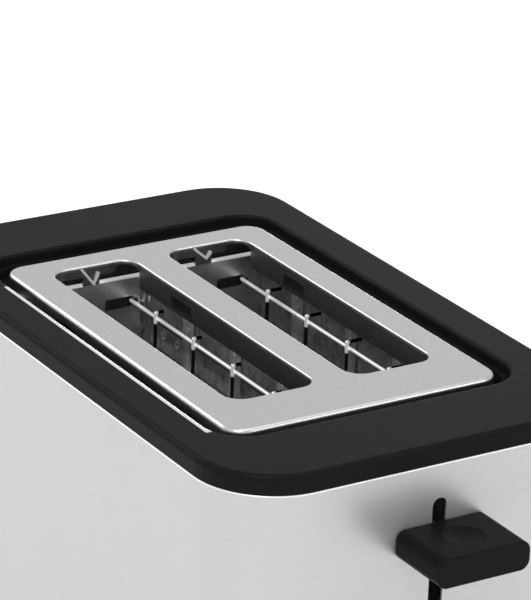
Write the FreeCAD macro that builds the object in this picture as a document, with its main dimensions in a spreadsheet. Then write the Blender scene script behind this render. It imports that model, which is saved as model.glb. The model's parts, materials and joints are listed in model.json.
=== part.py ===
"""Pop-up toaster for two slices, built as the assembly that comes apart on a bench.

Frame: the origin is on the table, under the middle of the whole toaster, +Z is up and the
lever sticks out towards +X. Every piece is drawn about the middle of the casing, and all of
them are moved together at the end, because the lever makes the toaster longer at one end.
"""

import FreeCAD
import Part
import Sketcher
import math
import os
import re
from FreeCAD import Rotation, Vector

# Driving dimensions in millimetres. Heights are above the table, x and y are from the middle of the casing.
SIZES = {
    "top_z": 185.0,          # top face of the slot plate
    "body_len": 257.0,
    "body_wid": 157.6,
    "body_corner": 30.0,
    "wall": 0.9,             # steel casing
    "mid_y": 0.3,            # middle plane of the two bread slots
    "gap": 0.3,              # running clearance between pieces that move past each other
    # black plastic base, and what is in it
    "foot_high": 6.0,
    "foot_rad": 9.0,
    "foot_x": 100.0,
    "foot_y": 52.0,
    "base_top": 18.0,
    "base_inset": 1.0,
    "base_floor": 2.5,
    "base_lip": 12.0,
    "base_wall": 2.2,
    "tray_half": 52.0,
    "tray_high": 7.5,
    "tray_reach": 58.0,
    "tray_steel": 0.8,
    "grip_thick": 3.0,
    "post_x": 8.0,
    "post_y": 62.0,
    "post_rad": 4.5,
    "post_top": 24.0,
    "gland_x": -70.0,
    "gland_rad": 4.0,
    # black plastic bezel round the top
    "rim_high": 7.2,
    "rim_drop": 7.0,         # from the slot plate's top down to the casing's top edge
    "rim_inset": 0.4,
    "rim_round": 2.2,
    "well_x": -0.3,
    "well_y": -0.85,
    "well_half_x": 93.2,
    "well_half_y": 61.95,
    "well_corner": 15.0,
    "well_round": 1.3,
    "well_deep": 4.0,
    "well_ledge": 2.5,
    "skirt_deep": 12.0,
    "skirt_wall": 2.0,
    # steel slot plate
    "plate_x": 2.25,
    "plate_y": -1.4,
    "plate_half_x": 85.55,
    "plate_half_y": 55.75,
    "plate_corner": 8.0,
    "plate_roll": 1.8,
    "plate_steel": 0.8,
    "plate_skirt": 7.0,
    "slot_y": -0.87,         # middle between the two openings
    "slot_far": -71.7,
    "slot_near": 64.1,
    "slot_half": 17.6,
    "slot_off": 24.7,        # middle of a slot from the middle plane
    "slot_corner": 7.0,
    "lip_roll": 0.9,
    "collar_deep": 10.0,
    "flap_deep": 4.7,        # the collar's far wall, cut back at one side
    "flap_gap": 7.0,
    "tab_deep": 8.3,         # hold-down tab on that wall, over a notch of the far end plate
    "tab_edge": 0.9,         # its bent edges
    "tab_bend_left": 8.0,
    "tab_bend_right": 6.0,
    "tab_tip": 4.0,
    "tab_off": 3.9,
    "notch_half": 3.6,
    "notch_deep": 1.5,
    # chassis
    "end_far": -77.5,
    "end_near": 65.3,
    "end_half": 66.0,
    "end_top": 175.2,
    "end_lip": 3.4,
    "end_bend": 1.5,
    "sheet": 0.8,
    "panel_off": 60.0,
    "column_x": -73.0,       # folded post that carries the far edge of the middle board
    "column_half": 2.1,
    "column_bend": 1.8,
    "column_low": 30.0,
    "column_top": 174.0,
    # heater boards
    "board_far_mid": -72.5,
    "board_far_out": -77.1,
    "board_near": 60.0,
    "board_low": 36.0,
    "board_top": 173.0,
    "board_thick": 0.5,
    "board_off": 54.0,       # inner face of an outer board from the middle plane
    "board_mid": 1.5,        # middle board from the middle plane
    "rail_half": 1.5,
    "rail_high": 5.0,
    "rail_top": 178.0,
    "rail_low_mid": 170.4,   # lower edges of the upper rails
    "rail_low_out": 168.0,
    "strip_wide": 8.0,
    "strip_one_mid": -42.3,
    "strip_two_mid": -7.3,
    "strip_three_mid": 26.5,
    "strip_one_out": -49.0,
    "strip_two_out": -10.6,
    "strip_three_out": 22.0,
    "rivet_rad": 1.3,
    "rivet_proud": 0.4,
    "rivet_z_mid": 168.8,
    "rivet_z_out": 166.4,
    "rivet_pitch": 4.5,
    "eyelet_z": 155.0,
    "eyelet_rad": 1.7,
    # wire guards
    "wire_rad": 0.7,
    "guard_low": 34.0,       # pivot wire
    "guard_bar": 163.85,     # top bar
    "guard_top": 166.5,      # bent top of the upright wires
    "guard_left_inner": 3.4,     # each guard from the middle plane
    "guard_right_inner": 5.6,
    "guard_left_outer": 45.7,
    "guard_right_outer": 46.4,
    "guard_first": -58.0,
    "guard_pitch": 28.8,
    # lever, carriage and bread racks
    "lever_y": 1.5,
    "knob_reach": 27.5,
    "knob_half": 18.6,
    "knob_off": 0.6,         # middle of the knob from the lever's
    "knob_low": 146.0,
    "knob_top": 157.0,
    "knob_round": 3.8,
    "knob_gap": 1.0,
    "dish_rad": 7.4,
    "dish_deep": 1.1,
    "lever_low": 147.5,
    "lever_high": 154.0,
    "lever_thick": 3.0,
    "lever_travel": 75.0,
    "lever_lift": 10.0,
    "lever_slot": 2.9,       # half width of the lever's slot
    "rod_x": 84.0,
    "rod_rad": 2.5,
    "carriage_low": 104.0,
    "carriage_high": 122.0,
    "rack_top": 116.0,
    "rack_half": 8.0,
    "spring_x": 76.5,
    "spring_y": 14.0,
    "spring_rad": 3.2,
    "latch_y": -14.0,
    # controls
    "dial_z": 44.0,
    "dial_rad": 16.0,
    "dial_high": 12.0,
    "button_y": -42.0,
    "button_z": 44.0,
    "button_pitch": 17.0,
    "button_half_y": 7.0,
    "button_half_z": 4.0,
    "board_x": 112.0,        # control board
}

HALF_X = "body_len / 2"
HALF_Y = "body_wid / 2"
FLOOR = "(foot_high + base_floor)"
UNDER_PLATE = "(top_z - plate_steel)"
INLET_Z = f"({FLOOR} + base_top) / 2"
SIDES = {"left": -1, "right": 1}
BOARDS = ("left", "centre", "right")
AXES = {
    "x": Rotation(Vector(0, 1, 0), 90),
    "y": Rotation(Vector(1, 0, 0), -90),
    "z": Rotation(),
}

doc = FreeCAD.newDocument("toaster")
sheet = doc.addObject("Spreadsheet::Sheet", "dim")
for row, (alias, number) in enumerate(SIZES.items(), start=1):
    sheet.set(f"A{row}", alias)
    sheet.set(f"B{row}", str(number))
    sheet.setAlias(f"B{row}", alias)
doc.recompute()

parts = []


# ---------------------------------------------------------------- formulas and simple solids


def formula(text):
    """The text with each sheet alias written as a reference to its cell."""
    return re.sub(r"[a-z_]+", lambda word: "dim." + word[0] if word[0] in SIZES else word[0], str(text))


def value(text):
    """What a formula is worth now, for first guesses and for the pieces that are not bound."""
    return float(sheet.evalExpression(formula(text)))


def bind(item, prop, text):
    item.setExpression(prop, formula(text))


def add(item, label):
    """Names a finished sub-part and puts it on the list of what is written out."""
    item.Label = label
    parts.append(item)
    return item


def box(low, high):
    """A block between two corners, each coordinate a formula."""
    item = doc.addObject("Part::Box", "block")
    for side, axis, start, end in zip(("Length", "Width", "Height"), "xyz", low, high):
        bind(item, side, f"({end}) - ({start})")
        bind(item, f"Placement.Base.{axis}", start)
    return item


def rod(at, radius, length, along="z"):
    """A round bar that starts at a point and runs along an axis."""
    item = doc.addObject("Part::Cylinder", "bar")
    item.Placement.Rotation = AXES[along]
    bind(item, "Radius", radius)
    bind(item, "Height", length)
    for axis, place in zip("xyz", at):
        bind(item, f"Placement.Base.{axis}", place)
    return item


def ball(at, radius):
    item = doc.addObject("Part::Sphere", "ball")
    bind(item, "Radius", radius)
    for axis, place in zip("xyz", at):
        bind(item, f"Placement.Base.{axis}", place)
    return item


def fuse(*items):
    item = doc.addObject("Part::MultiFuse", "joined")
    item.Shapes = list(items)
    item.Refine = True
    return item


def cut(base, *tools):
    item = doc.addObject("Part::Cut", "cut")
    item.Base = base
    item.Tool = tools[0] if len(tools) == 1 else fuse(*tools)
    return item


def group(*items):
    """Separate solids that share one node."""
    item = doc.addObject("Part::Compound", "group")
    item.Links = list(items)
    return item


# ---------------------------------------------------------------- sketched bodies


def new_body(label):
    return add(doc.addObject("PartDesign::Body", "body"), label)


def sketch(body, role, at):
    """A sketch on one of the body's own origin planes, moved along that plane's normal."""
    item = body.newObject("Sketcher::SketchObject", "outline")
    plane = next(feature for feature in body.Origin.OriginFeatures if feature.Role == role)
    item.AttachmentSupport = [(plane, "")]
    item.MapMode = "FlatFace"
    bind(item, "AttachmentOffset.Base.z", at)
    return item


def pin_point(item, kind, edge, text):
    """Holds the start of an edge at a signed distance from the sketch's origin."""
    index = item.addConstraint(Sketcher.Constraint(kind, -1, 1, edge, 1, value(text)))
    bind(item, f"Constraints[{index}]", text)


def rectangle(item, left, right, bottom, top, corner=None):
    """A closed outline with square corners, or with round ones of one radius."""
    x0, x1, y0, y1 = (value(side) for side in (left, right, bottom, top))
    r = value(corner) if corner else 0.0
    first = item.GeometryCount
    quarter = math.pi / 2
    corners = [(x1 - r, y0 + r), (x1 - r, y1 - r), (x0 + r, y1 - r), (x0 + r, y0 + r)]
    edges = []
    for turn, (cx, cy) in enumerate(corners):
        px, py = corners[turn - 1]
        out = Vector(r * math.sin(turn * quarter), -r * math.cos(turn * quarter), 0)
        edges.append(Part.LineSegment(Vector(px, py, 0) + out, Vector(cx, cy, 0) + out))
        if corner:
            circle = Part.Circle(Vector(cx, cy, 0), Vector(0, 0, 1), r)
            edges.append(Part.ArcOfCircle(circle, (turn - 1) * quarter, turn * quarter))
    item.addGeometry(edges, False)
    count = len(edges)
    step = count // 4
    kind = "Tangent" if corner else "Coincident"
    rules = [Sketcher.Constraint(kind, first + i, 2, first + (i + 1) % count, 1) for i in range(count)]
    rules += [Sketcher.Constraint("Horizontal", first + i * step) for i in (0, 2)]
    rules += [Sketcher.Constraint("Vertical", first + i * step) for i in (1, 3)]
    if corner:
        rules += [Sketcher.Constraint("Equal", first + 1, first + i) for i in (3, 5, 7)]
    item.addConstraint(rules)
    if corner:
        index = item.addConstraint(Sketcher.Constraint("Radius", first + 1, r))
        bind(item, f"Constraints[{index}]", corner)
    pin_point(item, "DistanceY", first, bottom)
    pin_point(item, "DistanceX", first + step, right)
    pin_point(item, "DistanceY", first + 2 * step, top)
    pin_point(item, "DistanceX", first + 3 * step, left)


def slanted(item, start, end, width):
    """A closed outline with round ends about two points, each given as two formulas."""
    (x0, y0), (x1, y1) = ((value(x), value(y)) for x, y in (start, end))
    r = value(width) / 2
    turn = math.atan2(y1 - y0, x1 - x0)
    side = Vector(-r * math.sin(turn), r * math.cos(turn), 0)
    ends = Vector(x0, y0, 0), Vector(x1, y1, 0)
    up = Vector(0, 0, 1)
    first = item.GeometryCount
    item.addGeometry([
        Part.LineSegment(ends[0] - side, ends[1] - side),
        Part.ArcOfCircle(Part.Circle(ends[1], up, r), turn - math.pi / 2, turn + math.pi / 2),
        Part.LineSegment(ends[1] + side, ends[0] + side),
        Part.ArcOfCircle(Part.Circle(ends[0], up, r), turn + math.pi / 2, turn + 3 * math.pi / 2),
    ], False)
    item.addConstraint([Sketcher.Constraint("Tangent", first + i, 2, first + (i + 1) % 4, 1) for i in range(4)])
    for arc, point in ((first + 3, start), (first + 1, end)):
        for kind, place in zip(("DistanceX", "DistanceY"), point):
            index = item.addConstraint(Sketcher.Constraint(kind, -1, 1, arc, 3, value(place)))
            bind(item, f"Constraints[{index}]", place)
    index = item.addConstraint(Sketcher.Constraint("Radius", first + 1, r))
    bind(item, f"Constraints[{index}]", f"{width} / 2")


def circle(item, x, y, radius):
    centre = Vector(value(x), value(y), 0)
    first = item.GeometryCount
    item.addGeometry(Part.Circle(centre, Vector(0, 0, 1), value(radius)), False)
    for kind, place in (("DistanceX", x), ("DistanceY", y)):
        index = item.addConstraint(Sketcher.Constraint(kind, -1, 1, first, 3, value(place)))
        bind(item, f"Constraints[{index}]", place)
    index = item.addConstraint(Sketcher.Constraint("Radius", first, value(radius)))
    bind(item, f"Constraints[{index}]", radius)


def pad(body, outline, length, reverse=False):
    item = body.newObject("PartDesign::Pad", "pad")
    item.Profile = outline
    item.Reversed = reverse
    bind(item, "Length", length)
    doc.recompute()
    return item


def pocket(body, outline, depth, reverse=False):
    """Cuts against the sketch's normal, or along it when reversed, and makes sure that it cut."""
    before = body.Shape.Volume
    item = body.newObject("PartDesign::Pocket", "pocket")
    item.Profile = outline
    item.Reversed = reverse
    bind(item, "Length", depth)
    doc.recompute()
    if body.Shape.Volume >= before:
        raise RuntimeError(f"{body.Label}: a pocket cut nothing")
    return item


def round_edges(body, radius, wanted, kind="PartDesign::Fillet"):
    """Rounds, or bevels, the edges of the body so far that a test picks out."""
    names = [f"Edge{i}" for i, edge in enumerate(body.Tip.Shape.Edges, start=1) if wanted(edge)]
    base = body.Tip
    item = body.newObject(kind, "edges")
    item.Base = (base, names)
    bind(item, "Radius" if kind.endswith("Fillet") else "Size", radius)
    doc.recompute()
    return item


def level(edge, height):
    """Whether the whole edge lies at one height."""
    bounds = edge.BoundBox
    return abs(bounds.ZMin - height) < 1e-4 and abs(bounds.ZMax - height) < 1e-4


def inside(edge, half_x, half_y):
    """Whether the edge stays inside a rectangle about the middle of the casing."""
    bounds = edge.BoundBox
    return max(-bounds.XMin, bounds.XMax) < half_x and max(-bounds.YMin, bounds.YMax) < half_y


def about(item, x, y, half_x, half_y, corner):
    """A round-cornered rectangle about a middle."""
    rectangle(item, f"{x} - ({half_x})", f"{x} + ({half_x})", f"{y} - ({half_y})", f"{y} + ({half_y})", corner)


def ring(body, at, length, outer, inner, reverse=False):
    """A wall between two round-cornered rectangles, each given as half length, half width, corner."""
    outline = sketch(body, "XY_Plane", at)
    for sizes in (outer, inner):
        about(outline, "0", "0", *sizes)
    return pad(body, outline, length, reverse)


def casing(shrink):
    """The casing's plan outline, drawn in by a distance."""
    return f"{HALF_X} - ({shrink})", f"{HALF_Y} - ({shrink})", f"body_corner - ({shrink})"


# ---------------------------------------------------------------- the outside


def make_shell():
    """The wrapped steel casing, open at the top and bottom, with the lever's slot at one end."""
    body = new_body("shell")
    ring(body, "base_top", "top_z - rim_drop - base_top", casing("0"), casing("wall"))
    round_edges(body, "0.35", lambda edge: level(edge, value("top_z - rim_drop")))
    holes = sketch(body, "YZ_Plane", f"{HALF_X} + 1")
    rectangle(holes, "lever_y - lever_slot", "lever_y + lever_slot",
              "lever_low - lever_travel - 2", "lever_high + lever_lift + 1.3", "lever_slot - 0.01")
    circle(holes, "lever_y", "dial_z", "4.6")
    for place in range(3):
        middle = f"button_z + {place} * button_pitch"
        rectangle(holes, "button_y - button_half_y - gap", "button_y + button_half_y + gap",
                  f"{middle} - button_half_z - gap", f"{middle} + button_half_z + gap", "2.3")
    pocket(body, holes, "wall + 2")


def well(grow):
    """The well's plan outline, grown by a distance: middle, half length, half width, corner."""
    return ("well_x", "well_y", f"well_half_x + {grow}", f"well_half_y + {grow}", f"well_corner + {grow}")


def make_bezel():
    """The black rim: a broad flat frame round a well, with a skirt that drops into the casing."""
    body = new_body("top_bezel")
    top = "top_z + 0.2"
    block = sketch(body, "XY_Plane", f"{top} - rim_high")
    about(block, "0", "0", *casing("rim_inset"))
    about(block, *well("(-well_ledge)"))
    pad(body, block, "rim_high")
    hollow = sketch(body, "XY_Plane", top)
    about(hollow, *well("0"))
    pocket(body, hollow, "well_deep")
    under = sketch(body, "XY_Plane", f"{top} - rim_high")
    about(under, "0", "0", *casing("rim_inset + 2.8"))
    about(under, *well("2"))
    pocket(body, under, "rim_high - 2.7", reverse=True)
    ring(body, f"{top} - 2.7", "skirt_deep", casing("wall + gap"), casing("wall + gap + skirt_wall"),
         reverse=True)
    level_z = value(top)
    limit = value("well_half_x") + 2
    round_edges(body, "rim_round", lambda edge: level(edge, level_z) and not inside(edge, limit, limit))
    round_edges(body, "well_round", lambda edge: level(edge, level_z) and inside(edge, limit, limit))


def make_slot_plate():
    """The steel plate with both bread slots, its rolled rim, its collars and its tabs."""
    body = new_body("slot_plate")
    edge_of = {
        "far": "plate_x - plate_half_x", "near": "plate_x + plate_half_x",
        "left": "plate_y - plate_half_y", "right": "plate_y + plate_half_y",
    }
    outline = sketch(body, "XY_Plane", "top_z - plate_skirt")
    rectangle(outline, edge_of["far"], edge_of["near"], edge_of["left"], edge_of["right"], "plate_corner")
    pad(body, outline, "plate_skirt")
    round_edges(body, "plate_roll", lambda edge: level(edge, value("top_z")))
    under = sketch(body, "XY_Plane", "top_z - plate_skirt")
    rectangle(under, edge_of["far"] + " + plate_steel", edge_of["near"] + " - plate_steel",
              edge_of["left"] + " + plate_steel", edge_of["right"] + " - plate_steel",
              "plate_corner - plate_steel")
    pocket(body, under, "plate_skirt - plate_steel", reverse=True)
    collars = sketch(body, "XY_Plane", UNDER_PLATE)
    slots = sketch(body, "XY_Plane", "top_z")
    for side in SIDES.values():
        middle = f"slot_y + {side} * slot_off"
        rectangle(collars, "slot_far - plate_steel", "slot_near + plate_steel",
                  f"{middle} - slot_half - plate_steel", f"{middle} + slot_half + plate_steel",
                  "slot_corner + plate_steel")
        rectangle(slots, "slot_far", "slot_near", f"{middle} - slot_half", f"{middle} + slot_half",
                  "slot_corner")
    pad(body, collars, "collar_deep - plate_steel", reverse=True)
    pocket(body, slots, "collar_deep + 1")
    ends = (("slot_far - 3", "slot_far + slot_corner", "flap_deep"),
            ("slot_near - slot_corner", "slot_near + 3", "2.6"))
    for start, end, left in ends:
        trim = sketch(body, "XY_Plane", "top_z - collar_deep - 1")
        rectangle(trim, start, end, "plate_y - plate_half_y + 2", "plate_y + plate_half_y - 2")
        pocket(body, trim, f"collar_deep + 1 - {left}", reverse=True)
    gaps = sketch(body, "YZ_Plane", "slot_far + slot_corner")
    for side in SIDES.values():
        edge = f"slot_y + {side} * slot_off + slot_half"
        rectangle(gaps, f"{edge} - flap_gap", f"{edge} + 1.2", "top_z - collar_deep - 4", "top_z - 1.7", "3")
    pocket(body, gaps, "slot_corner + 3")
    windows = sketch(body, "XZ_Plane", f"-{HALF_Y}")
    rectangle(windows, "-40", "-25.5", "top_z - 8.4", "top_z - 4.2")
    pocket(body, windows, "body_wid", reverse=True)
    half_x = value("plate_half_x") - 4
    round_edges(body, "lip_roll", lambda edge: level(edge, value("top_z")) and inside(edge, half_x, 60))
    tabs = sketch(body, "YZ_Plane", "slot_far - plate_steel")
    edges = sketch(body, "YZ_Plane", "slot_far")
    tips = sketch(body, "YZ_Plane", "slot_far")
    rests = sketch(body, "XY_Plane", UNDER_PLATE)
    for name, side in SIDES.items():
        middle = f"slot_y + {side} * slot_off"
        bend = (f"{middle} + 1.7", f"top_z - tab_bend_{name}")
        rectangle(tabs, f"{middle} - 2.8", f"{middle} + 4.2", "top_z - tab_deep", "top_z - plate_steel")
        slanted(edges, (f"{middle} - 3.3", "top_z - 1.7"), bend, "tab_edge")
        slanted(tips, bend, (f"{middle} + 3.3", "top_z - tab_tip"), "tab_edge - 0.2")
        rectangle(rests, "end_near + end_bend + 0.5", "end_near + end_bend + 1.3", f"{middle} - 5", f"{middle} + 5")
    pad(body, tabs, "plate_steel")
    pad(body, edges, "0.6")
    pad(body, tips, "0.4")
    pad(body, rests, f"{UNDER_PLATE} - end_top", reverse=True)


def make_base():
    """The black base: a floor and band under the casing, a lip inside it, posts and a tray way."""
    body = new_body("base")
    floor = sketch(body, "XY_Plane", "foot_high")
    half_x, half_y, corner = casing("base_inset")
    rectangle(floor, f"-({half_x})", half_x, f"-({half_y})", half_y, corner)
    pad(body, floor, "base_floor")
    inner = casing("base_inset + base_wall + 1")
    ring(body, FLOOR, f"base_top - {FLOOR}", casing("base_inset"), inner)
    ring(body, "base_top", "base_lip", casing("wall + 0.2"), inner)
    round_edges(body, "1.5", lambda edge: level(edge, value("foot_high")))
    mouth = sketch(body, "YZ_Plane", f"-{HALF_X} - 1")
    rectangle(mouth, "-tray_half - 1", "tray_half + 1", FLOOR, "base_top + 1")
    pocket(body, mouth, "base_inset + base_wall + 4", reverse=True)
    guides = sketch(body, "XY_Plane", FLOOR)
    for side in SIDES.values():
        rectangle(guides, f"-{HALF_X} + 9", "tray_reach", f"{side} * (tray_half + 2) - 1",
                  f"{side} * (tray_half + 2) + 1")
    pad(body, guides, "tray_high")
    posts = sketch(body, "XY_Plane", FLOOR)
    for x in ("end_far - post_x", "end_near + post_x"):
        for side in SIDES.values():
            circle(posts, x, f"{side} * post_y", "post_rad")
    pad(body, posts, f"post_top - {FLOOR}")
    socket = sketch(body, "XY_Plane", FLOOR)
    circle(socket, "rod_x", "mid_y", "rod_rad + 2.5")
    pad(body, socket, "13.5")
    bores = sketch(body, "XY_Plane", "post_top")
    for x in ("end_far - post_x", "end_near + post_x"):
        for side in SIDES.values():
            circle(bores, x, f"{side} * post_y", "1.5")
    circle(bores, "rod_x", "mid_y", "rod_rad + 0.05")
    pocket(body, bores, "12")
    vents = sketch(body, "XY_Plane", FLOOR)
    for row in range(6):
        for side in SIDES.values():
            x = f"66 + {row} * 7"
            rectangle(vents, x, f"{x} + 3", f"{side} * 38 - 4.5", f"{side} * 38 + 4.5", "1.4")
    pocket(body, vents, "base_floor + 1")
    inlet = sketch(body, "XZ_Plane", f"-{HALF_Y} - 1")
    circle(inlet, "gland_x", INLET_Z, "gland_rad")
    pocket(body, inlet, "base_inset + base_wall + 6", reverse=True)


def make_gland():
    """The rubber bush that the supply cord would come in through."""
    wall_face = f"({HALF_Y} - base_inset)"
    inside_face = f"({wall_face} - base_wall - 2.4)"
    neck = rod(("gland_x", inside_face, INLET_Z), "gland_rad - 0.02", f"{wall_face} - {inside_face}", "y")
    flange = rod(("gland_x", wall_face, INLET_Z), "gland_rad + 0.6", "0.9", "y")
    back = rod(("gland_x", f"{inside_face} - 1.4", INLET_Z), "gland_rad + 0.5", "1.4", "y")
    bore = rod(("gland_x", f"{inside_face} - 3", INLET_Z), "3.2", "12", "y")
    add(cut(fuse(neck, flange, back), bore), "cord_gland")


def make_tray():
    """The crumb tray and the grip on its end."""
    body = new_body("crumb_tray")
    low = f"{FLOOR} + 0.4"
    start = f"-{HALF_X} + base_inset + grip_thick + 0.1"
    outline = sketch(body, "XY_Plane", low)
    rectangle(outline, start, "tray_reach", "-tray_half", "tray_half", "3")
    pad(body, outline, "tray_high")
    hollow = sketch(body, "XY_Plane", f"{low} + tray_high")
    rectangle(hollow, f"{start} + tray_steel", "tray_reach - tray_steel", "-tray_half + tray_steel",
              "tray_half - tray_steel", "2.2")
    pocket(body, hollow, "tray_high - tray_steel")
    grip = new_body("tray_grip")
    face = sketch(grip, "YZ_Plane", f"-{HALF_X} + base_inset")
    rectangle(face, "-tray_half - 0.4", "tray_half + 0.4", f"{FLOOR} + gap", "base_top - gap", "1.5")
    pad(grip, face, "grip_thick")
    scoop = sketch(grip, "YZ_Plane", f"-{HALF_X} + base_inset")
    rectangle(scoop, "-22", "22", f"{FLOOR} + 1.6", "base_top - 3.2", "2")
    pocket(grip, scoop, "grip_thick - 1", reverse=True)


def make_feet():
    """Four rubber feet, each a disc with a bevelled edge."""
    for end, x in (("rear", "-foot_x"), ("front", "foot_x")):
        for name, side in SIDES.items():
            body = new_body(f"foot_{end}_{name}")
            outline = sketch(body, "XY_Plane", "0")
            circle(outline, x, f"{side} * foot_y", "foot_rad")
            pad(body, outline, "foot_high")
            round_edges(body, "1", lambda edge: level(edge, 0.0), "PartDesign::Chamfer")


# ---------------------------------------------------------------- chassis and heaters


def make_end_plate(label, face, outward):
    """A sheet-steel end of the toasting chamber, with feet to screw down.

    Each guard's bar has a window on the bread's side and a narrower way out of it on the other.
    """
    body = new_body(label)
    outline = sketch(body, "YZ_Plane", face)
    rectangle(outline, "-end_half", "end_half", "post_top", "end_top")
    for name, side in SIDES.items():
        for place, turn in (("inner", 1), ("outer", -1)):
            offset = f"guard_{name}_{place}"
            edges = sorted((f"mid_y + {side} * ({offset} + {turn} * 0.3)",
                            f"mid_y + {side} * ({offset} + {turn} * 12.4)"), key=value)
            rectangle(outline, edges[0], edges[1], "guard_bar - 1.9", "guard_bar + 2.7", "0.8")
            circle(outline, f"mid_y + {side} * {offset}", "guard_low", "wire_rad + gap")
        if outward > 0:
            middle = f"mid_y + {side} * slot_off"
            low = "rack_top - 8 - lever_travel - 1"
            rectangle(outline, f"{middle} - 2.5", f"{middle} + 2.5", low, "rack_top + lever_lift + 1", "2")
    rectangle(outline, "mid_y - 0.9", "mid_y + 0.9", "150.5", "156.5")
    pad(body, outline, "sheet", reverse=outward < 0)
    swings = sketch(body, "YZ_Plane", f"{face} + {outward} * sheet")
    for name, side in SIDES.items():
        for place, turn in (("inner", 1), ("outer", -1)):
            offset = f"guard_{name}_{place}"
            edges = sorted((f"mid_y + {side} * ({offset} - {turn} * 2.2)",
                            f"mid_y + {side} * ({offset} + {turn} * 1.5)"), key=value)
            rectangle(swings, edges[0], edges[1], "guard_bar - 1.15", "guard_bar + 1.15", "1.1")
    pocket(body, swings, "sheet", reverse=outward < 0)
    lips = sketch(body, "XY_Plane", "end_top")
    feet = sketch(body, "XY_Plane", "post_top")
    edge = f"{face} + {outward} * sheet / 2"
    span = sorted((edge, f"{edge} + {outward} * end_lip"), key=value)
    rectangle(lips, span[0], span[1], "-end_half", "end_half")
    pad(body, lips, "sheet", reverse=True)
    bends = (
        (value("sheet") / 2, value("end_top - sheet"), value(f"{face} + {outward} * sheet")),
        (value("end_bend"), value("end_top"), value(face)),
    )
    for radius, height, x in bends:
        round_edges(body, str(radius), lambda edge, height=height, x=x:
                    level(edge, height) and abs(edge.BoundBox.XMin - x) + abs(edge.BoundBox.XMax - x) < 1e-4)
    span = sorted((edge, f"{edge} + {outward} * (post_x + 6)"), key=value)
    for side in SIDES.values():
        sides = sorted((f"{side} * end_half", f"{side} * (post_y - 8)"), key=value)
        rectangle(feet, span[0], span[1], sides[0], sides[1])
        circle(feet, f"{face} + {outward} * post_x", f"{side} * post_y", "1.7")
    pad(body, feet, "sheet")
    if outward < 0:
        notches = sketch(body, "XY_Plane", "end_top")
        for side in SIDES.values():
            notch = f"slot_y + {side} * slot_off + tab_off"
            rectangle(notches, f"{face} - 5", f"{face} + 5", f"{notch} - notch_half", f"{notch} + notch_half")
        pocket(body, notches, "notch_deep")


def make_column():
    """The folded steel post that carries the far edge of the middle board.

    It has a slit near one corner and a notch where the bar of the guard beside it swings.
    """
    body = new_body("chamber_column")
    outline = sketch(body, "XY_Plane", "column_low")
    sides = ("end_far + 0.05", "column_x", "mid_y - column_half", "mid_y + column_half")
    rectangle(outline, *sides, "column_bend")
    inner = [f"{side} {sign} 0.7" for side, sign in zip(sides, "+-+-")]
    rectangle(outline, *inner, "column_bend - 0.7")
    pad(body, outline, "column_top - column_low")
    slit = sketch(body, "XZ_Plane", "column_half")
    rectangle(slit, "column_x - 1.6", "column_x - 0.5", "top_z - 29.7", "top_z - 24.3")
    pocket(body, slit, "column_half")
    notch = sketch(body, "XZ_Plane", "column_half")
    rectangle(notch, "end_far - 1", "column_x + 1", "guard_bar - 1.3", "guard_bar + 1.3")
    pocket(body, notch, "1.5")


def make_chassis():
    make_end_plate("end_plate_rear", "end_far", -1)
    make_end_plate("end_plate_front", "end_near", 1)
    make_column()
    for name, side in SIDES.items():
        faces = sorted((f"{side} * panel_off", f"{side} * (panel_off + 0.6)"), key=value)
        panel = box(("end_far + 0.1", faces[0], "28"), ("end_near - 0.1", faces[1], "end_top - 3"))
        add(panel, f"reflector_{name}")
    screws = []
    for x in ("end_far - post_x", "end_near + post_x"):
        for side in SIDES.values():
            shank = rod((x, f"{side} * post_y", "post_top - 8"), "1.45", "9")
            head = rod((x, f"{side} * post_y", "post_top + sheet"), "3.2", "2")
            slot = box((f"{x} - 2.4", f"{side} * post_y - 0.4", "post_top + sheet + 1.2"),
                       (f"{x} + 2.4", f"{side} * post_y + 0.4", "post_top + sheet + 3"))
            screws.append(cut(fuse(shank, head), slot))
    add(group(*screws), "chassis_screws")


def board_face(name):
    """Middle of a heater board across the toaster."""
    if name == "centre":
        return "(mid_y + board_mid)"
    return f"(mid_y + {SIDES[name]} * (board_off + board_thick / 2))"


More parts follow.
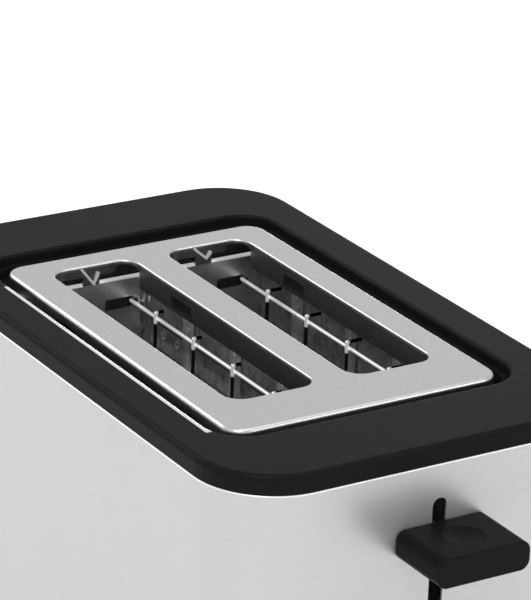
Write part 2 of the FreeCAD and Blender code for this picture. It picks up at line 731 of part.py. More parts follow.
def make_heaters():
    """Three mica boards in rails, each with its ribbon, steel strips and rivets; eyelets on one."""
    rivets = []
    for name in BOARDS:
        place = "mid" if name == "centre" else "out"
        middle = board_face(name)
        far = f"board_far_{place}"
        low = (far, f"{middle} - board_thick / 2", "board_low")
        high = ("board_near", f"{middle} + board_thick / 2", "board_top")
        add(box(low, high), f"heater_board_{name}")
        rail_far = "column_x + 0.1" if name == "centre" else "end_far + 0.1"
        for end, start, stop in (("lower", "board_low - 2", "board_low - 2 + rail_high"),
                                 ("upper", f"rail_low_{place}", "rail_top")):
            rail = box((rail_far, f"{middle} - rail_half", start),
                       ("end_near - 0.1", f"{middle} + rail_half", stop))
            groove = box(("end_far", f"{middle} - board_thick / 2 - 0.05", "board_low - 0.05"),
                         ("end_near", f"{middle} + board_thick / 2 + 0.05", "board_top + 0.05"))
            add(cut(rail, groove), f"board_rail_{end}_{name}")
        turns = []
        for turn in range(11):
            height = f"board_low + 12 + {turn} * 11"
            wrap = box((f"{far} - 0.2", f"{middle} - board_thick / 2 - 0.17", height),
                       ("board_near + 0.2", f"{middle} + board_thick / 2 + 0.17", f"{height} + 1.4"))
            core = box((f"{far} - 0.02", f"{middle} - board_thick / 2 - 0.02", "board_low"),
                       ("board_near + 0.02", f"{middle} + board_thick / 2 + 0.02", "board_top"))
            turns.append(cut(wrap, core))
        add(group(*turns), f"heater_ribbon_{name}")
        sides = (-1, 1) if name == "centre" else (-SIDES[name],)
        strips = []
        for side in sides:
            for x in (f"strip_{count}_{place}" for count in ("one", "two", "three")):
                faces = [f"{middle} + {side} * (board_thick / 2 + {depth})"
                         for depth in ("0.2", "0.6", "0.6 + rivet_proud")]
                span = sorted(faces[:2], key=value)
                strips.append(box((f"{x} - strip_wide / 2", span[0], "board_low + 6"),
                                  (f"{x} + strip_wide / 2", span[1], f"rail_low_{place} - 0.2")))
                start = min(faces[1:], key=value)
                for height in (f"rivet_z_{place}", f"rivet_z_{place} - rivet_pitch", "board_low + 10"):
                    rivets.append(rod((x, start, height), "rivet_rad", "rivet_proud", "y"))
        add(group(*strips), f"board_strips_{name}")
    start = f"{board_face('centre')} - board_thick / 2 - 0.6"
    for x in ("board_far_mid + 11.5", "board_far_mid + 22"):
        rim = rod((x, start, "eyelet_z"), "eyelet_rad", "0.4", "y")
        rivets.append(cut(rim, rod((x, f"{start} - 1", "eyelet_z"), "eyelet_rad / 2", "3", "y")))
    add(group(*rivets), "board_rivets")


def make_guard(label, side, offset, inner):
    """A welded wire guard: a pivot wire, a top bar and bent uprights on the bread's side."""
    y = f"(mid_y + {side} * {offset})"
    towards_bread = side if inner else -side
    upright_y = f"({y} + {towards_bread} * 1.2)"
    board = board_face("centre" if inner else ("left" if side < 0 else "right"))
    reach = f"abs({board} - {upright_y}) - board_thick / 2 - 0.6 - 1.95"
    wires = [
        rod(("end_far - 3", y, "guard_low"), "wire_rad", "end_near - end_far + 6", "x"),
        rod(("end_far - 2", y, "guard_bar"), "wire_rad", "end_near - end_far + 4", "x"),
    ]
    for place in range(5):
        x = f"guard_first + {place} * guard_pitch"
        wires.append(rod((x, upright_y, "guard_low"), "wire_rad", "guard_top - guard_low"))
        wires.append(ball((x, upright_y, "guard_top"), "wire_rad"))
        start = upright_y if towards_bread < 0 else f"{upright_y} - ({reach})"
        wires.append(rod((x, start, "guard_top"), "wire_rad", reach, "y"))
    add(fuse(*wires), label)


def make_guards():
    for name, side in SIDES.items():
        make_guard(f"guard_{name}_slot_inner", side, f"guard_{name}_inner", True)
        make_guard(f"guard_{name}_slot_outer", side, f"guard_{name}_outer", False)


# ---------------------------------------------------------------- lever and carriage


def make_lever():
    """The thumb piece, round at both sides and dished on top, and the flat steel arm inside it."""
    body = new_body("lever_knob")
    start = f"({HALF_X} + knob_gap)"
    end = f"({HALF_X} + knob_reach)"
    outline = sketch(body, "YZ_Plane", start)
    middle = "lever_y + knob_off"
    rectangle(outline, f"{middle} - knob_half", f"{middle} + knob_half", "knob_low", "knob_top", "knob_round")
    pad(body, outline, "knob_reach - knob_gap")
    front = value(end)
    round_edges(body, "0.6", lambda edge: edge.BoundBox.XMin > front - 0.01)
    dish = body.newObject("PartDesign::SubtractiveEllipsoid", "dish")
    bind(dish, "Radius1", "5 * dish_deep")
    bind(dish, "Radius2", "dish_rad / 0.6")
    bind(dish, "Radius3", "dish_rad / 0.6")
    bind(dish, "Placement.Base.x", f"{start} + (knob_reach - knob_gap) / 2")
    bind(dish, "Placement.Base.y", "lever_y + 1")
    bind(dish, "Placement.Base.z", "knob_top + 4 * dish_deep")
    doc.recompute()
    socket = sketch(body, "YZ_Plane", start)
    rectangle(socket, "lever_y - lever_thick / 2 - 0.05", "lever_y + lever_thick / 2 + 0.05",
              "lever_low - 0.05", "lever_high + 0.05")
    pocket(body, socket, "13", reverse=True)
    arm = [
        box(("rod_x + 5.2", "lever_y - lever_thick / 2", "carriage_low"),
            ("rod_x + 18", "lever_y + lever_thick / 2", "carriage_low + 12")),
        box(("rod_x + 10", "lever_y - lever_thick / 2", "carriage_low"),
            ("rod_x + 18", "lever_y + lever_thick / 2", "lever_high")),
        box(("rod_x + 10", "lever_y - lever_thick / 2", "lever_low"),
            (f"{start} + 12.8", "lever_y + lever_thick / 2", "lever_high")),
    ]
    add(fuse(*arm), "lever_arm")


def make_carriage():
    """The carriage on its guide rod, with its keeper plate, and the two bread racks it lifts."""
    cross = box(("end_near + sheet + 4.4", "mid_y - slot_off - 6", "carriage_low"),
                ("end_near + sheet + 5.6", "mid_y + slot_off + 6", "carriage_high"))
    web = box(("end_near + sheet + 5.6", "mid_y - 2.3", "carriage_low"),
              ("rod_x + 5.2", "mid_y + 3.7", "carriage_high"))
    bush = rod(("rod_x", "mid_y", "carriage_low - 4"), "rod_rad + 2.5", "carriage_high - carriage_low + 8")
    tab = box(("end_near + sheet + 5.6", "spring_y - 4", "carriage_high - 1.2"),
              ("spring_x + 3.5", "spring_y + 4", "carriage_high"))
    arm = box(("end_near + sheet + 5.6", "latch_y - 3", "carriage_low"),
              ("rod_x + 14", "latch_y - 1.8", "carriage_low + 8"))
    bore = rod(("rod_x", "mid_y", "carriage_low - 6"), "rod_rad + gap", "carriage_high - carriage_low + 12")
    add(cut(fuse(cross, web, bush, tab, arm), bore), "carriage")
    add(box(("rod_x + 2", "latch_y - 6", "carriage_low - 1.5"),
            ("rod_x + 14", "latch_y + 6", "carriage_low")), "latch_keeper")
    for name, side in SIDES.items():
        middle = f"(mid_y + {side} * slot_off)"
        pieces = [box(("slot_far + 4", f"{middle} - 0.6", "rack_top - 8"),
                      ("end_near + sheet + 4.4", f"{middle} + 0.6", "rack_top - 1"))]
        for bar in range(8):
            x = f"slot_far + 8 + {bar} * 17"
            pieces.append(box((x, f"{middle} - rack_half", "rack_top - 2"),
                              (f"{x} + 2", f"{middle} + rack_half", "rack_top")))
        add(fuse(*pieces), f"bread_rack_{name}")
    add(rod(("rod_x", "mid_y", "12.5"), "rod_rad", "end_top - 14.5"), "guide_rod")
    plate = box(("end_near + sheet", "mid_y - 8", "end_top - 5"), ("rod_x + 6", "spring_y + 6", "end_top - 3.8"))
    hole = rod(("rod_x", "mid_y", "end_top - 8"), "rod_rad + 0.03", "8")
    add(cut(plate, hole), "rod_bracket")


def make_spring():
    """The pull spring that lifts the carriage, drawn as one swept helix."""
    seat = 0.15
    low = value("carriage_high") + seat
    high = value("end_top - 5")
    wire = 0.45
    turns = 16
    length = high - low - 2 * wire
    helix = Part.makeHelix(length / turns, length, value("spring_rad"))
    start = Vector(value("spring_rad"), 0, 0)
    profile = Part.Wire(Part.makeCircle(wire, start, Vector(0, 1, 0.3)))
    spring = doc.addObject("Part::Feature", "spring")
    spring.Shape = Part.Wire(helix.Edges).makePipeShell([profile], True, True)
    bind(spring, "Placement.Base.x", "spring_x")
    bind(spring, "Placement.Base.y", "spring_y")
    bind(spring, "Placement.Base.z", f"carriage_high + {seat} + {wire}")
    add(spring, "carriage_spring")


def make_latch():
    """The electromagnet that holds the lowered carriage, and the mains contacts beside it."""
    legs = [box((f"rod_x + {x}", "latch_y - 2", FLOOR), (f"rod_x + {x} + 3", "latch_y + 2", "27")) for x in (3, 10)]
    yoke = box(("rod_x + 1", "latch_y - 6", FLOOR), ("rod_x + 15", "latch_y + 6", f"{FLOOR} + 2"))
    add(fuse(yoke, *legs), "magnet_core")
    bobbin = box(("rod_x + 1.5", "latch_y - 5", f"{FLOOR} + 2.1"), ("rod_x + 14.5", "latch_y + 5", "25"))
    holes = [box((f"rod_x + {x} - 0.1", "latch_y - 2.1", FLOOR), (f"rod_x + {x} + 3.1", "latch_y + 2.1", "28"))
             for x in (3, 10)]
    add(cut(bobbin, *holes), "magnet_coil")
    block = box(("rod_x - 2", "spring_y + 2", FLOOR), ("rod_x + 12", "spring_y + 18", "17"))
    leaves = [box((f"rod_x + {x}", f"spring_y + {y}", "17"), (f"rod_x + {x} + 5", f"spring_y + {y} + 0.6", "23"))
              for x in (-1, 5) for y in (5, 8, 12, 15)]
    add(fuse(block, *leaves), "mains_contacts")


# ---------------------------------------------------------------- controls


def make_controls():
    """The control board, three buttons in their frame, the browning control and its dial."""
    whole = box(("board_x", "-58", FLOOR), ("board_x + 1.6", "24", "94"))
    corner = box(("board_x - 1", "-22", "62"), ("board_x + 3", "30", "100"))
    add(cut(whole, corner), "control_board")
    switches = []
    frame = box(("board_x + 7", "button_y - 9", "button_z - 8"),
                ("board_x + 11", "button_y + 9", "button_z + 2 * button_pitch + 8"))
    holes = []
    for place, label in enumerate(("button_stop", "button_reheat", "button_defrost")):
        middle = f"(button_z + {place} * button_pitch)"
        switches.append(box(("board_x + 1.6", "button_y - 3", f"{middle} - 3"),
                            ("board_x + 4", "button_y + 3", f"{middle} + 3")))
        holes.append(rod(("board_x + 6", "button_y", middle), "2 + gap", "6", "x"))
        body = new_body(label)
        cap = sketch(body, "YZ_Plane", "board_x + 14")
        rectangle(cap, "button_y - button_half_y", "button_y + button_half_y",
                  f"{middle} - button_half_z", f"{middle} + button_half_z", "2")
        pad(body, cap, f"{HALF_X} + 1.6 - board_x - 14")
        front = value(f"{HALF_X} + 1.6")
        round_edges(body, "0.6", lambda edge, front=front: edge.BoundBox.XMin > front - 0.01)
        flange = sketch(body, "YZ_Plane", "board_x + 13.6")
        rectangle(flange, "button_y - button_half_y - 1.2", "button_y + button_half_y + 1.2",
                  f"{middle} - button_half_z - 1.2", f"{middle} + button_half_z + 1.2")
        pad(body, flange, "1.4")
        stem = sketch(body, "YZ_Plane", "board_x + 13.6")
        circle(stem, "button_y", middle, "2")
        pad(body, stem, "7.2", reverse=True)
    add(group(*switches), "key_switches")
    add(cut(frame, *holes), "button_frame")
    case = box(("board_x + 1.6", "lever_y - 8", "dial_z - 8"), ("board_x + 7", "lever_y + 8", "dial_z + 8"))
    collar = rod(("board_x + 7", "lever_y", "dial_z"), "4", "2", "x")
    bore = rod(("board_x + 5", "lever_y", "dial_z"), "3 + 0.05", "6", "x")
    add(cut(fuse(case, collar), bore), "browning_control")
    add(rod(("board_x + 5.2", "lever_y", "dial_z"), "3", f"{HALF_X} + 8 - board_x - 5.2", "x"), "dial_shaft")
    body = new_body("browning_dial")
    disc = sketch(body, "YZ_Plane", f"{HALF_X} + 0.8")
    circle(disc, "lever_y", "dial_z", "dial_rad")
    pad(body, disc, "dial_high")
    front = value(f"{HALF_X} + 0.8 + dial_high")
    round_edges(body, "1.4", lambda edge: edge.BoundBox.XMin > front - 0.01)
    socket = sketch(body, "YZ_Plane", f"{HALF_X} + 0.8")
    circle(socket, "lever_y", "dial_z", "3.02")
    pocket(body, socket, "7.3", reverse=True)
    mark = sketch(body, "YZ_Plane", f"{HALF_X} + 0.8 + dial_high")
    rectangle(mark, "lever_y - 0.6", "lever_y + 0.6", "dial_z + dial_rad - 6", "dial_z + dial_rad - 1.5")
    pocket(body, mark, "0.5")


# ---------------------------------------------------------------- build, check and write


def centre_whole(item):
    """Moves a finished piece from the casing's middle to the whole toaster's middle."""
    bound = dict(item.ExpressionEngine)
    own = next((text for path, text in bound.items() if path.endswith("Placement.Base.x")), "0")
    item.setExpression("Placement.Base.x", f"({own}) - {formula('knob_reach / 2')}")


def main():
    for make in (make_shell, make_bezel, make_slot_plate, make_base, make_gland, make_tray, make_feet,
                 make_chassis, make_heaters, make_guards, make_lever, make_carriage, make_spring,
                 make_latch, make_controls):
        make()
    for item in parts:
        centre_whole(item)
    doc.recompute()
    for item in doc.Objects:
        if "Invalid" in item.State or "Error" in item.State:
            owners = ", ".join(owner.Label for owner in item.InList)
            raise RuntimeError(f"{item.Label} in {owners} failed to recompute: {item.State}")
    for item in parts:
        if item.Shape.isNull() or not item.Shape.isValid():
            raise RuntimeError(f"{item.Label} has no valid shape")
    os.makedirs("parts", exist_ok=True)
    for item in parts:
        item.Shape.exportStep(f"parts/{item.Label}.step")
        bounds = item.Shape.BoundBox
        print(f"{item.Label:28s} {len(item.Shape.Solids):3d} solids  x {bounds.XMin:7.1f} {bounds.XMax:7.1f}"
              f"  y {bounds.YMin:7.1f} {bounds.YMax:7.1f}  z {bounds.ZMin:6.1f} {bounds.ZMax:6.1f}")
    print(len(parts), "nodes")


main()
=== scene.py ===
"""The looks of the pop-up toaster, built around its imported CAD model.

Lengths are metres in the row frame: the origin is on the table, +Z is up and the lever
sticks out towards +X. Places come from the CAD nodes' boxes.
"""

import json
import math

import bpy
from mathutils import Matrix, Vector


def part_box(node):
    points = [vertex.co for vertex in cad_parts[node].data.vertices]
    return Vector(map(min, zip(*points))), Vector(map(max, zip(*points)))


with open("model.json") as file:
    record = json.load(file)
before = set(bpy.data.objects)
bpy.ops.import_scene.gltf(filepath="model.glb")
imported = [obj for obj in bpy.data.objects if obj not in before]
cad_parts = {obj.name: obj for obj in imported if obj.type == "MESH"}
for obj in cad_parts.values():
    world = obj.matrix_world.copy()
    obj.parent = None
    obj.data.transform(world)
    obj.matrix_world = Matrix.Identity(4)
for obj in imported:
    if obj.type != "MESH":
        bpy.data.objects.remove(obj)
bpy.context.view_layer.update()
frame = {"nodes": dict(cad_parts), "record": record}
nodes = frame["nodes"]

MM = 0.001
FAR = 1.0  # past the end of the toaster, whatever the direction
shell_low, shell_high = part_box("shell")
CASING_X = (shell_low.x + shell_high.x) / 2
TOP_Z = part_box("slot_plate")[1].z

# Where most of a noise's values lie.
NOISE_LOW, NOISE_HIGH = 0.3, 0.7

# How deep a mould's eroded texture is.
ERODED_DEPTH = 0.02 * MM

# Marks in the finishes, in millimetres: X from the middle of the casing, Y and Z in the row frame.
LIP_X = (-90, -78.6)  # the rear end plate's turned lip
BEND_X = (-78.5, -77.0)  # its rolled top edge
TAB_X = (-71.6, -71.0)  # the raised edges of the tabs at the slots' far ends
TAB_Y = ((-29.8, -21.6), (19.6, 27.8))
WELL_LINE_X = (-65, 82.5)  # the bright line along the rim's well
WELL_LINE_Y = (-64.9, -62.8)


def casing_point(x, y, below_top):
    """A point given from the middle of the casing and down from the slot plate, in millimetres."""
    return Vector((CASING_X + x * MM, y * MM, TOP_Z - below_top * MM))


# ---------------------------------------------------------------- materials


class Shader:
    """A material with one Principled shader and short ways to add nodes before it."""

    def __init__(self, name, colour, metallic=0.0, roughness=0.5, **sockets):
        self.material = bpy.data.materials.new(name)
        self.material.use_nodes = True
        self.tree = self.material.node_tree
        self.surface = self.tree.nodes["Principled BSDF"]
        self.set("Base Color", (*colour, 1.0))
        self.set("Metallic", metallic)
        self.set("Roughness", roughness)
        for socket, value in sockets.items():
            self.set(socket.replace("_", " "), value)

    def set(self, socket, value):
        self.surface.inputs[socket].default_value = value

    def node(self, kind, inputs=None, **settings):
        item = self.tree.nodes.new("ShaderNode" + kind)
        for name, value in settings.items():
            setattr(item, name, value)
        for name, value in (inputs or {}).items():
            if isinstance(value, bpy.types.NodeSocket):
                self.tree.links.new(value, item.inputs[name])
            else:
                item.inputs[name].default_value = value
        return item

    def feed(self, socket, output):
        self.tree.links.new(output, self.surface.inputs[socket])

    def noise(self, scale, stretch=(1, 1, 1), detail=3.0, roughness=0.5):
        """Noise in object space, squeezed along each axis by its stretch."""
        place = self.node("TexCoord").outputs["Object"]
        mapped = self.node("Mapping", {"Vector": place, "Scale": stretch})
        texture = self.node("TexNoise", {"Vector": mapped.outputs["Vector"], "Scale": scale,
                                         "Detail": detail, "Roughness": roughness})
        return texture.outputs["Fac"]

    def ramp(self, value, low, high, start=0.0, end=1.0):
        """A number from 0 to 1 turned into one from start to end, clamped outside low to high."""
        item = self.node("MapRange", {"Value": value, "From Min": low, "From Max": high,
                                      "To Min": start, "To Max": end})
        return item.outputs["Result"]

    def spread(self, noise, start=0.0, end=1.0):
        """A noise's usual values stretched to run from start to end."""
        return self.ramp(noise, NOISE_LOW, NOISE_HIGH, start, end)

    def band(self, axis, low, high, soft):
        """1 between two places along an axis of object space, 0 outside, with soft edges."""
        space = self.node("TexCoord").outputs["Object"]
        place = self.node("SeparateXYZ", {"Vector": space}).outputs[axis]
        rise = self.ramp(place, low - soft, low)
        fall = self.ramp(place, high, high + soft, 1.0, 0.0)
        return self.math("MULTIPLY", rise, fall)

    def mark_x(self, ends, soft):
        """A band along X with its ends in millimetres from the middle of the casing."""
        return self.band("X", CASING_X + ends[0] * MM, CASING_X + ends[1] * MM, soft)

    def mark_y(self, ends, soft):
        """A band along Y with its ends in millimetres."""
        return self.band("Y", ends[0] * MM, ends[1] * MM, soft)

    def tint(self, amount, first, second):
        """One of two colours, or a blend of both; each is three numbers or a socket."""
        ends = [part if isinstance(part, bpy.types.NodeSocket) else (*part, 1.0)
                for part in (first, second)]
        item = self.node("Mix", {"Factor": amount, "A": ends[0], "B": ends[1]}, data_type="RGBA")
        return item.outputs["Result"]

    def math(self, operation, first, second):
        """One sum of two numbers or sockets, by the name of its Math node's operation."""
        return self.node("Math", {0: first, 1: second}, operation=operation).outputs["Value"]

    def glow(self, mask, strength):
        """A little light of its own where the mask is 1."""
        self.set("Emission Color", (1.0, 1.0, 1.0, 1.0))
        self.feed("Emission Strength", self.math("MULTIPLY", mask, strength))

    def roughen(self, height, strength, distance):
        """Bumps the surface by a height socket; the distance is in metres."""
        bump = self.node("Bump", {"Height": height, "Strength": strength, "Distance": distance})
        self.feed("Normal", bump.outputs["Normal"])


def grey(level):
    return (level, level, level)


def casing_steel():
    """Satin stainless sheet, brushed level round the casing, with a highlight painted along its top
    edge.
    """
    mat = Shader("casing_steel", grey(0.47), 0.6, 0.36)
    grain = mat.noise(300.0, (0.3, 0.3, 8.0), detail=3.0)
    cloud = mat.noise(9.0, detail=2.0)
    steel = mat.tint(mat.spread(grain), grey(0.46), grey(0.48))
    # Painted highlight: the top 0.3 mm of the shell is made light grey.
    edge = mat.band("Z", shell_high.z - 0.3 * MM, FAR, 0.2 * MM)
    mat.feed("Base Color", mat.tint(edge, steel, grey(0.85)))
    mat.feed("Roughness", mat.spread(cloud, 0.34, 0.38))
    mat.roughen(grain, 0.02, 0.00005)
    return mat.material


def plate_steel():
    """The slot plate's steel: an even, fine-grained satin, with painted shade down the collars and
    a painted highlight on the tabs' raised edges.
    """
    mat = Shader("plate_steel", grey(0.60), 1.0, 0.30)
    grain = mat.noise(1500.0, (0.5, 1.0, 1.0), detail=2.0)
    cloud = mat.noise(12.0, detail=2.0)
    unshaded = mat.tint(mat.spread(grain), grey(0.56), grey(0.61))
    low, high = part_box("slot_plate")
    collars = mat.math("MULTIPLY", mat.band("X", low.x + 6 * MM, high.x - 6 * MM, 1 * MM),
                       mat.band("Y", low.y + 6 * MM, high.y - 6 * MM, 1 * MM))
    # Painted shade: the collars below the plate's top are made dark grey.
    collar_shade = mat.math("MULTIPLY", collars, mat.band("Z", 0.0, high.z - 1.8 * MM, 0.6 * MM))
    # Painted highlight: the raised edges of the tabs are made light grey and given a little glow of
    # their own.
    wall = mat.math("MULTIPLY", mat.mark_x(TAB_X, 0.05 * MM),
                    mat.band("Z", high.z - 8.8 * MM, high.z - 1.3 * MM, 0.2 * MM))
    tabs = mat.math("MAXIMUM", *(mat.mark_y(ends, 0.1 * MM) for ends in TAB_Y))
    tab_edge_highlight = mat.math("MULTIPLY", wall, tabs)
    mat.feed("Base Color", mat.tint(tab_edge_highlight, mat.tint(collar_shade, unshaded, grey(0.27)), grey(0.85)))
    mat.glow(tab_edge_highlight, 0.25)
    mat.feed("Roughness", mat.spread(cloud, 0.27, 0.33))
    mat.roughen(grain, 0.02, 0.00005)
    return mat.material


def chamber_steel():
    """Bare sheet inside the toasting chamber, dulled and mottled by heat, with painted shade on the
    rear end plate's lip and a painted highlight on its rolled top edge.
    """
    mat = Shader("chamber_steel", grey(0.80), 1.0, 0.30)
    mottle = mat.noise(90.0, detail=5.0, roughness=0.65)
    streak = mat.noise(200.0, (0.1, 1.0, 0.1), detail=3.0)
    steel = mat.tint(mat.spread(mottle), grey(0.76), grey(0.92))
    # Painted shade: the rear end plate's turned lip is made near black.
    lip = mat.mark_x(LIP_X, 0.3 * MM)
    mat.feed("Base Color", mat.tint(lip, steel, grey(0.05)))
    # Painted highlight: the rear end plate's rolled top edge glows a little of itself.
    bend_highlight = mat.math("MULTIPLY", mat.mark_x(BEND_X, 0.1 * MM),
                    mat.band("Z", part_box("end_plate_rear")[1].z - 0.9 * MM, FAR, 0.6 * MM))
    mat.glow(bend_highlight, 0.42)
    mat.feed("Roughness", mat.spread(mottle, 0.26, 0.36))
    mat.roughen(streak, 0.08, 0.0003)
    return mat.material


def bright_wire():
    """Nickel-plated wire and pins."""
    mat = Shader("bright_wire", grey(0.92), 0.7, 0.30)
    spots = mat.noise(700.0, detail=2.0)
    mat.feed("Base Color", mat.tint(mat.ramp(spots, 0.35, 0.65), grey(0.85), grey(0.95)))
    mat.feed("Roughness", mat.spread(spots, 0.25, 0.35))
    return mat.material


def strip_steel():
    """The boards' strips: dulled sheet, scuffed along its length."""
    mat = Shader("strip_steel", grey(0.42), 0.35, 0.42)
    scuffs = mat.noise(260.0, (1.0, 1.0, 0.25), detail=5.0, roughness=0.65)
    mat.feed("Base Color", mat.tint(mat.ramp(scuffs, 0.35, 0.65), grey(0.30), grey(0.62)))
    mat.feed("Roughness", mat.spread(scuffs, 0.34, 0.50))
    mat.roughen(scuffs, 0.15, 0.0002)
    return mat.material


def guard_wire():
    """The guards' wire: a painted highlight with a glow along the top bar and the bends, painted
    near black as shade elsewhere.
    """
    mat = Shader("guard_wire", grey(0.95), 0.7, 0.26)
    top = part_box("guard_left_slot_outer")[1].z
    # Painted highlight on the top 4.6 mm of the wire; everything else is painted near black as
    # shade.
    unshaded = mat.band("Z", top - 4.6 * MM, FAR, 0.6 * MM)
    hooks = mat.band("Z", top - 1.5 * MM, FAR, 0.2 * MM)
    behind_bar = 1.7 * MM
    inner_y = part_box("guard_left_slot_inner")[0].y + behind_bar
    outer_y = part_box("guard_right_slot_outer")[0].y + behind_bar
    between_slots = 10 * MM
    inner = mat.band("Y", inner_y, between_slots, 0.3 * MM)
    outer = mat.band("Y", outer_y, FAR, 0.3 * MM)
    # Painted shade: the hooks' ends behind the bar are kept near black.
    hook_shade = mat.math("MULTIPLY", hooks, mat.math("MAXIMUM", inner, outer))
    bright = mat.math("SUBTRACT", unshaded, hook_shade)
    mat.feed("Base Color", mat.tint(bright, grey(0.02), grey(0.95)))
    mat.glow(bright, 0.26)
    mat.feed("Roughness", mat.spread(mat.noise(300.0), 0.26, 0.34))
    return mat.material


def zinc_steel():
    """Zinc-plated pressed steel with faint spangle."""
    mat = Shader("zinc_steel", grey(0.55), 1.0, 0.38)
    place = mat.node("TexCoord").outputs["Object"]
    cells = mat.node("TexVoronoi", {"Vector": place, "Scale": 160.0})
    spangle = mat.ramp(cells.outputs["Distance"], 0.0, 0.6)
    mat.feed("Base Color", mat.tint(spangle, grey(0.48), grey(0.60)))
    mat.feed("Roughness", mat.spread(mat.noise(60.0), 0.32, 0.45))
    return mat.material


def moulded_plastic(name, level, roughness, specular, grain=2600.0):
    """Black moulded plastic with a fine eroded texture."""
    mat = Shader(name, grey(level), 0.0, roughness, Specular_IOR_Level=specular)
    fine = mat.noise(grain, detail=2.0)
    cloud = mat.noise(25.0, detail=3.0)
    mat.feed("Base Color", mat.tint(mat.spread(cloud), grey(level * 0.92), grey(level * 1.08)))
    mat.feed("Roughness", mat.ramp(fine, 0.25, 0.75, roughness - 0.05, roughness + 0.05))
    mat.roughen(fine, 0.25, ERODED_DEPTH)
    return mat.material


def rim_plastic():
    """The rim's black plastic, with a highlight painted as a bright metallic line along the well's
    lip on its -Y side.
    """
    mat = Shader("rim_plastic", grey(0.008), 0.0, 0.42, Specular_IOR_Level=0.04)
    fine = mat.noise(2600.0, detail=2.0)
    cloud = mat.noise(25.0, detail=3.0)
    # Painted highlight: a light grey metallic band along the well's lip on the -Y side.
    line = mat.math("MULTIPLY", mat.mark_x(WELL_LINE_X, 1.5 * MM),
                    mat.mark_y(WELL_LINE_Y, 0.3 * MM))
    black = mat.tint(mat.spread(cloud), grey(0.0074), grey(0.0086))
    mat.feed("Base Color", mat.tint(line, black, grey(0.95)))
    mat.feed("Metallic", line)
    polish = mat.ramp(line, 0.0, 1.0, 1.0, 0.4)
    mat.feed("Roughness", mat.math("MULTIPLY", mat.ramp(fine, 0.25, 0.75, 0.37, 0.47), polish))
    mat.roughen(fine, 0.25, ERODED_DEPTH)
    return mat.material


def mica():
    """Pressed mica sheet: grey flakes with a faint sheen."""
    mat = Shader("mica", grey(0.20), 0.0, 0.42, Specular_IOR_Level=0.6)
    flakes = mat.noise(420.0, (1.0, 1.0, 0.6), detail=6.0, roughness=0.7)
    cloud = mat.noise(45.0, detail=3.0)
    base = mat.tint(mat.spread(flakes), grey(0.10), grey(0.34))
    shade = mat.spread(cloud, 0.8, 1.2)
    scaled = mat.node("VectorMath", {0: base, "Scale": shade}, operation="SCALE")
    mat.feed("Base Color", scaled.outputs["Vector"])
    mat.feed("Roughness", mat.spread(flakes, 0.30, 0.55))
    mat.roughen(flakes, 0.2, 0.0002)
    return mat.material


def rubber():
    """Dull black rubber with a fine uneven skin."""
    mat = Shader("rubber_black", grey(0.025), 0.0, 0.75)
    fine = mat.noise(1500.0, detail=3.0)
    mat.feed("Roughness", mat.spread(fine, 0.65, 0.85))
    mat.roughen(fine, 0.3, 0.0001)
    return mat.material


def enamel(name, colour, roughness):
    """A plain coloured coating with slight mottling."""
    mat = Shader(name, colour, 0.0, roughness)
    cloud = mat.noise(150.0, detail=4.0)
    darker = tuple(part * 0.85 for part in colour)
    mat.feed("Base Color", mat.tint(mat.spread(cloud), darker, colour))
    mat.feed("Roughness", mat.spread(cloud, roughness - 0.08, roughness + 0.08))
    mat.roughen(cloud, 0.1, 0.0001)
    return mat.material


FINISHES = {
    "casing_steel": casing_steel(),
    "plate_steel": plate_steel(),
    "chamber_steel": chamber_steel(),
    "bright_wire": bright_wire(),
    "strip_steel": strip_steel(),
    "guard_wire": guard_wire(),
    "black_plastic": moulded_plastic("black_plastic", 0.006, 0.40, 0.05),
    "rim_plastic": rim_plastic(),
    "control_plastic": moulded_plastic("control_plastic", 0.01, 0.28, 0.2, grain=1800.0),
    "rubber_black": rubber(),
    "mica": mica(),
    "ribbon": enamel("ribbon", grey(0.10), 0.5),
    "zinc_steel": zinc_steel(),
    # Painted shade: dark_steel is made near black so that the rails seen through the collar windows
    # read black.
    "dark_steel": enamel("dark_steel", grey(0.02), 0.55),
    "board_green": enamel("board_green", (0.03, 0.14, 0.07), 0.35),
    "copper_coil": enamel("copper_coil", (0.42, 0.17, 0.07), 0.35),
    "white_plastic": enamel("white_plastic", (0.70, 0.68, 0.62), 0.45),
}


# Nodes with a finish of their own, by how their names start.
OWN_FINISHES = {"top_bezel": "rim_plastic", "guard_": "guard_wire", "board_strips_": "strip_steel"}


def dress_cad_nodes():
    """Gives each CAD node its own finish, or else the one that the record names for it."""
    for entry in frame["record"]["subparts"]:
        finish = entry["material_slot"]
        for start, own in OWN_FINISHES.items():
            if entry["node"].startswith(start):
                finish = own
        mesh = nodes[entry["node"]].data
        mesh.materials.clear()
        mesh.materials.append(FINISHES[finish])


# ---------------------------------------------------------------- floor, light and camera


def make_floor():
    """A wide sheet of white paper, a little lit of itself so that it stays white."""
    half = 6.0
    corners = [(-half, -half, 0), (half, -half, 0), (half, half, 0), (-half, half, 0)]
    mesh = bpy.data.meshes.new("floor")
    mesh.from_pydata(corners, [], [(0, 1, 2, 3)])
    floor = bpy.data.objects.new("floor", mesh)
    bpy.context.scene.collection.objects.link(floor)
    mat = Shader("floor_paper", grey(0.92), 0.0, 0.9, Emission_Color=(1, 1, 1, 1),
                 Emission_Strength=0.26)
    mesh.materials.append(mat.material)


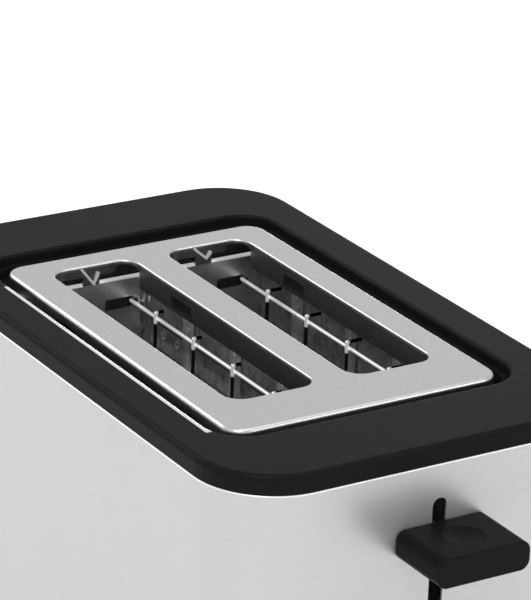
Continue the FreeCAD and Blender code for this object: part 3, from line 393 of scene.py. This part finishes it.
def soft_box(name, target, direction, distance, size, brightness):
    """A rectangular light that faces a target from a direction.

    The brightness is how bright its face looks, where white paper in full light is 1.
    """
    data = bpy.data.lights.new(name, "AREA")
    data.shape = "RECTANGLE"
    data.size, data.size_y = size
    data.energy = brightness * math.pi * size[0] * size[1]
    light = bpy.data.objects.new(name, data)
    bpy.context.scene.collection.objects.link(light)
    light.location = target + Vector(direction).normalized() * distance
    light.rotation_euler = Vector(direction).to_track_quat("Z", "Y").to_euler()


# Each light's name, direction, distance, width and height, and brightness.
LIGHTS = (
    ("side_box", (-0.79, -0.35, 0.47), 1.6, (0.7, 0.5), 3.2),
    ("top_box", (0.1, 0.25, 0.95), 1.6, (0.8, 0.8), 1.6),
    ("front_box", (0.70, 0.52, 0.50), 2.0, (0.5, 0.35), 5.0),
    ("key", (0.40, -0.42, 0.81), 1.8, (0.16, 0.16), 150.0),
    ("rear_strip", (-0.78, 0.615, 0.03), 2.2, (0.35, 0.14), 8.0),
)


def make_light():
    """An even white studio with soft boxes round the toaster."""
    world = bpy.data.worlds.new("studio")
    world.use_nodes = True
    background = world.node_tree.nodes["Background"]
    background.inputs["Color"].default_value = (1, 1, 1, 1)
    background.inputs["Strength"].default_value = 0.78
    bpy.context.scene.world = world
    middle = Vector((CASING_X, 0, TOP_Z))
    for name, direction, distance, size, brightness in LIGHTS:
        soft_box(name, middle, direction, distance, size, brightness)


def make_camera():
    """A long lens a little above the toaster, off its lever end."""
    azimuth, elevation, roll = (math.radians(angle) for angle in (58.16, 21.84, -1.92))
    distance = 1.3182
    forward = -Vector((math.sin(azimuth) * math.cos(elevation),
                       -math.cos(azimuth) * math.cos(elevation),
                       math.sin(elevation)))
    level = forward.cross(Vector((0, 0, 1))).normalized()
    down = forward.cross(level)
    right = math.cos(roll) * level + math.sin(roll) * down
    up = math.sin(roll) * level - math.cos(roll) * down
    data = bpy.data.cameras.new("camera")
    data.lens = 213.05
    data.sensor_width = 36.0
    data.clip_end = 20.0
    camera = bpy.data.objects.new("camera", data)
    bpy.context.scene.collection.objects.link(camera)
    target = casing_point(-11.29, 15.70, 0)
    turn = Matrix((right, up, -forward)).transposed().to_4x4()
    camera.matrix_world = Matrix.Translation(target - forward * distance) @ turn
    bpy.context.scene.camera = camera


dress_cad_nodes()
make_floor()
make_light()
make_camera()
bpy.context.scene.view_settings.view_transform = "Standard"
